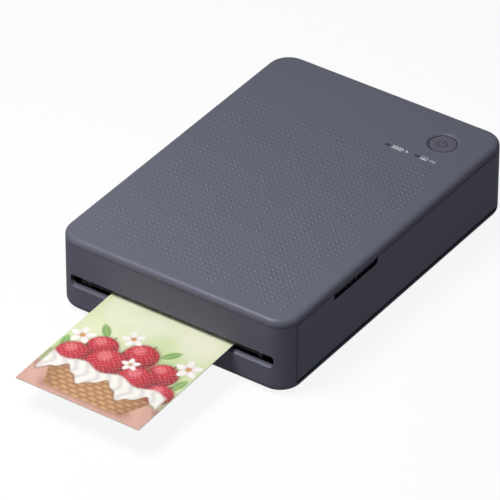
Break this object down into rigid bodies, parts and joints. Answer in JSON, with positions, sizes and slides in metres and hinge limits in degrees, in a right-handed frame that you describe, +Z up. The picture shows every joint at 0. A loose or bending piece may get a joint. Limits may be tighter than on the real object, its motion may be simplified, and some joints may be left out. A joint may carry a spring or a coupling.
{
  "type": "compact photo printer",
  "caption": "Flat rounded photo printer with a hinged top cover, a drop-down side door, a round power button and a card-size print half out of its wide front slot.",
  "frame": {"origin": "centre of the case's footprint on the table plane, under the feet", "axes": "+Z up; -Y is the front, where the print comes out; +X is the right side with the door"},
  "size_m": [0.1022, 0.2029, 0.0329],
  "materials": {
    "shell_grey": "fine satin",
    "trim_grey": "satin",
    "tray_black": "satin",
    "button_grey": "satin",
    "lens_black": "gloss",
    "steel": "machined",
    "sink_aluminium": "extruded",
    "nylon": "moulded",
    "rubber_black": "matt",
    "board_green": "solder mask",
    "chip_black": "moulded",
    "ceramic": "ceramic glaze",
    "cassette_white": "moulded",
    "ribbon_film": "thin film",
    "paper_white": "paper",
    "print_face": "glossy photo paper",
    "battery_wrap": "wrapped cell",
    "motor_steel": "plated"
  },
  "bodies": {
    "case": {"base_cover": "shell_grey", "main_housing": "shell_grey", "door_pins": "steel", "cover_hinge_pins": "steel", "paper_tray": "tray_black", "paper_sheets": "paper_white", "left_side_plate": "steel", "right_side_plate": "steel", "lower_guide_plate": "steel", "pinch_shaft": "steel", "ribbon_cassette_case": "cassette_white", "ribbon_film": "ribbon_film", "head_springs": "steel", "gear_studs": "steel", "drive_motor": "motor_steel", "main_board": "board_green", "board_chips": "chip_black", "usb_port": "steel", "battery_pack": "battery_wrap", "case_screws": "steel", "frame_screws": "steel", "rubber_feet": "rubber_black"},
    "cover": {"top_cover": "shell_grey", "cover_liner": "trim_grey", "button_board": "board_green", "power_switch": "steel", "indicator_lenses": "lens_black", "pressure_springs": "steel"},
    "button": {"power_button": "button_grey"},
    "pressure": {"pressure_plate": "trim_grey"},
    "door": {"side_door": "shell_grey"},
    "guide_left": {"paper_guide_left": "nylon"},
    "guide_right": {"paper_guide_right": "nylon"},
    "print": {"photo_print": "print_face"},
    "head": {"thermal_head": "ceramic", "head_heat_sink": "sink_aluminium"},
    "cam": {"head_cam_shaft": "steel"},
    "exit_roller": {"exit_shaft": "steel", "exit_tires": "rubber_black", "exit_gear": "nylon"},
    "exit_idler": {"exit_idlers": "nylon"},
    "platen": {"platen_shaft": "steel", "platen_rubber": "rubber_black", "platen_gear": "nylon"},
    "feed_idler": {"feed_idler_gear": "nylon"},
    "drive_wheel": {"drive_gear": "nylon"},
    "capstan": {"capstan_shaft": "steel", "capstan_gear": "nylon"},
    "pinch": {"pinch_roller": "nylon"},
    "rotor": {"motor_pinion": "steel"},
    "takeup_idler": {"takeup_idler_gear": "nylon"},
    "takeup": {"ribbon_takeup_spool": "ribbon_film", "takeup_gear": "nylon"},
    "supply": {"ribbon_supply_spool": "ribbon_film"},
    "pickup": {"pickup_shaft": "steel", "pickup_tires": "rubber_black", "pickup_gear": "nylon"},
    "pickup_idler_1": {"pickup_idler_front": "nylon"},
    "pickup_idler_2": {"pickup_idler_rear": "nylon"}
  },
  "joints": [
    {"name": "cover_hinge", "type": "hinge", "parent": "case", "child": "cover", "pos_m": [-0.0488, 0, 0.0306], "axis": [0, -1, 0], "range_deg": [0, 90]},
    {"name": "door_hinge", "type": "hinge", "parent": "case", "child": "door", "pos_m": [0.0496, 0, 0.0057], "axis": [0, 1, 0], "range_deg": [0, 90]},
    {"name": "button_press", "type": "slide", "parent": "cover", "child": "button", "axis": [0, 0, -1], "range_m": [0, 0.0004], "stiffness_N_per_m": 800, "springref_m": -0.0004},
    {"name": "pressure_slide", "type": "slide", "parent": "cover", "child": "pressure", "axis": [0, 0, 1], "range_m": [0, 0.0015], "stiffness_N_per_m": 200, "springref_m": -0.001, "deforming": ["pressure_springs"]},
    {"name": "guide_left_slide", "type": "slide", "parent": "case", "child": "guide_left", "axis": [-1, 0, 0], "range_m": [0, 0.007]},
    {"name": "guide_right_slide", "type": "slide", "parent": "case", "child": "guide_right", "axis": [1, 0, 0], "range_m": [0, 0.007]},
    {"name": "print_slide", "type": "slide", "parent": "case", "child": "print", "axis": [0, -0.9995, -0.0332], "range_m": [-0.0571, 0.02]},
    {"name": "head_lower", "type": "slide", "parent": "case", "child": "head", "axis": [0, 0.0332, -0.9995], "range_m": [0, 0.0012], "stiffness_N_per_m": 1500, "springref_m": -0.0005, "deforming": ["head_springs"]},
    {"name": "cam_turn", "type": "hinge", "parent": "case", "child": "cam", "pos_m": [0, -0.05254, 0.02643], "axis": [-1, 0, 0], "range_deg": [0, 150.1]},
    {"name": "platen_spin", "type": "hinge", "parent": "case", "child": "platen", "pos_m": [0, -0.05199, 0.00985], "axis": [1, 0, 0], "range_deg": [-654.82, 229.68]},
    {"name": "exit_spin", "type": "hinge", "parent": "case", "child": "exit_roller", "pos_m": [0, -0.06578, 0.01089], "axis": [1, 0, 0], "range_deg": [-935.24, 327.9]},
    {"name": "exit_idler_spin", "type": "hinge", "parent": "case", "child": "exit_idler", "pos_m": [0, -0.06595, 0.01602], "axis": [1, 0, 0], "range_deg": [-917.23, 2617.77]},
    {"name": "feed_idler_spin", "type": "hinge", "parent": "case", "child": "feed_idler", "pos_m": [0, -0.05964, 0.01332], "axis": [1, 0, 0], "range_deg": [-573.46, 1636.3]},
    {"name": "drive_spin", "type": "hinge", "parent": "case", "child": "drive_wheel", "pos_m": [0, -0.03818, 0.0162], "axis": [1, 0, 0], "range_deg": [-149.97, 427.23]},
    {"name": "capstan_spin", "type": "hinge", "parent": "case", "child": "capstan", "pos_m": [0, -0.02685, 0.01369], "axis": [1, 0, 0], "range_deg": [-1636.3, 573.46]},
    {"name": "pinch_spin", "type": "hinge", "parent": "case", "child": "pinch", "pos_m": [0, -0.02701, 0.01856], "axis": [1, 0, 0], "range_deg": [-458.87, 1309.14]},
    {"name": "rotor_spin", "type": "hinge", "parent": "case", "child": "rotor", "pos_m": [0, -0.02741, 0.02052], "axis": [1, 0, 0], "range_deg": [-1636.3, 573.46]},
    {"name": "takeup_idler_spin", "type": "hinge", "parent": "case", "child": "takeup_idler", "pos_m": [0, -0.06646, 0.01746], "axis": [1, 0, 0], "range_deg": [-573.46, 1636.3]},
    {"name": "takeup_spin", "type": "hinge", "parent": "case", "child": "takeup", "pos_m": [0, -0.06479, 0.02322], "axis": [1, 0, 0], "range_deg": [-1091.03, 382.47]},
    {"name": "supply_spin", "type": "hinge", "parent": "case", "child": "supply", "pos_m": [0, -0.0401, 0.02404], "axis": [1, 0, 0], "range_deg": [-818.4, 286.98]},
    {"name": "pickup_spin", "type": "hinge", "parent": "case", "child": "pickup", "pos_m": [0, -0.01308, 0.02079], "axis": [1, 0, 0], "range_deg": [-344.27, 981.98]},
    {"name": "pickup_idler_1_spin", "type": "hinge", "parent": "case", "child": "pickup_idler_1", "pos_m": [0, -0.02166, 0.01341], "axis": [1, 0, 0], "range_deg": [-491.61, 1402.61]},
    {"name": "pickup_idler_2_spin", "type": "hinge", "parent": "case", "child": "pickup_idler_2", "pos_m": [0, -0.01623, 0.01476], "axis": [1, 0, 0], "range_deg": [-1402.61, 491.61]}
  ],
  "couplings": [
    {"joint": "platen_spin", "follows": "print_slide", "rad_per_m": 200},
    {"joint": "exit_spin", "follows": "print_slide", "rad_per_m": 285.71},
    {"joint": "exit_idler_spin", "follows": "print_slide", "rad_per_m": -800},
    {"joint": "feed_idler_spin", "follows": "print_slide", "rad_per_m": -500},
    {"joint": "drive_spin", "follows": "print_slide", "rad_per_m": -130.43},
    {"joint": "capstan_spin", "follows": "print_slide", "rad_per_m": 500},
    {"joint": "pinch_spin", "follows": "print_slide", "rad_per_m": -400},
    {"joint": "rotor_spin", "follows": "print_slide", "rad_per_m": 500},
    {"joint": "takeup_idler_spin", "follows": "print_slide", "rad_per_m": -500},
    {"joint": "takeup_spin", "follows": "print_slide", "rad_per_m": 333.33},
    {"joint": "supply_spin", "follows": "print_slide", "rad_per_m": 250},
    {"joint": "pickup_spin", "follows": "print_slide", "rad_per_m": -300},
    {"joint": "pickup_idler_1_spin", "follows": "print_slide", "rad_per_m": -428.57},
    {"joint": "pickup_idler_2_spin", "follows": "print_slide", "rad_per_m": 428.57},
    {"joint": "cam_turn", "follows": "head_lower", "rad_per_m": 2181.7}
  ]
}
